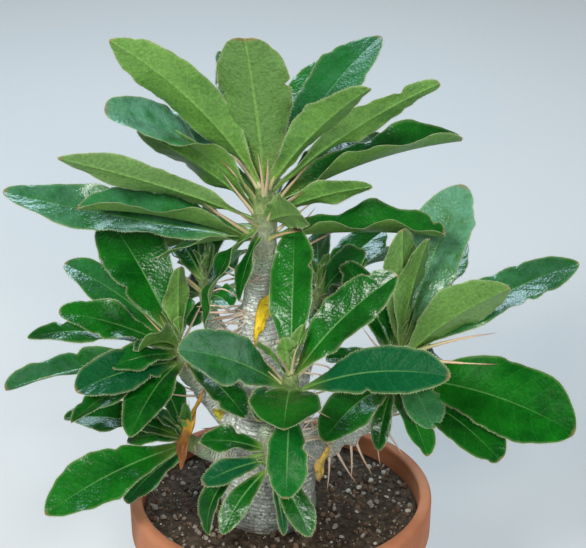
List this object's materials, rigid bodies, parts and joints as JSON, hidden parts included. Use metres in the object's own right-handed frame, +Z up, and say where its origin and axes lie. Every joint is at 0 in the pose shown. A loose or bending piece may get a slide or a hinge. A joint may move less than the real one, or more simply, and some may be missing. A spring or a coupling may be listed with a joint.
{
  "type": "potted kudu lily",
  "caption": "Swollen-trunked spiny succulent shrub with rosettes of waved leaves on short branches, standing in a plain terracotta pot.",
  "frame": {"origin": "centre of the pot's flat foot, on the surface it stands on", "axes": "+Z up along the trunk, -Y towards the picture's viewer, +X to the viewer's right"},
  "size_m": [0.2802, 0.1843, 0.3692],
  "materials": {
    "pot": "matt unglazed terracotta",
    "soil": "dark gritty potting mix",
    "trunk": "silvery grey crackled bark",
    "crown_leaves": "waxy green leaves, paler underneath",
    "left_leaves": "waxy dark green leaves",
    "low_left_leaves": "waxy dark green leaves",
    "front_leaves": "glossy dark green leaves",
    "low_front_leaves": "glossy dark green leaves",
    "right_leaves": "waxy green leaves, paler underneath",
    "back_right_leaves": "waxy dark green leaves",
    "back_left_leaves": "waxy dark green leaves",
    "withered_leaf_trunk": "dry yellow leaf",
    "withered_leaf_left": "dry brown leaf",
    "yellow_leaf_left": "yellowing leaf",
    "withered_leaf_right": "dry yellow leaf"
  },
  "bodies": {
    "root": {"pot": "pot", "soil": "soil", "trunk": "trunk", "crown_leaves": "crown_leaves", "left_leaves": "left_leaves", "low_left_leaves": "low_left_leaves", "front_leaves": "front_leaves", "low_front_leaves": "low_front_leaves", "right_leaves": "right_leaves", "back_right_leaves": "back_right_leaves", "back_left_leaves": "back_left_leaves", "withered_leaf_trunk": "withered_leaf_trunk", "withered_leaf_left": "withered_leaf_left", "yellow_leaf_left": "yellow_leaf_left", "withered_leaf_right": "withered_leaf_right"}
  },
  "joints": []
}
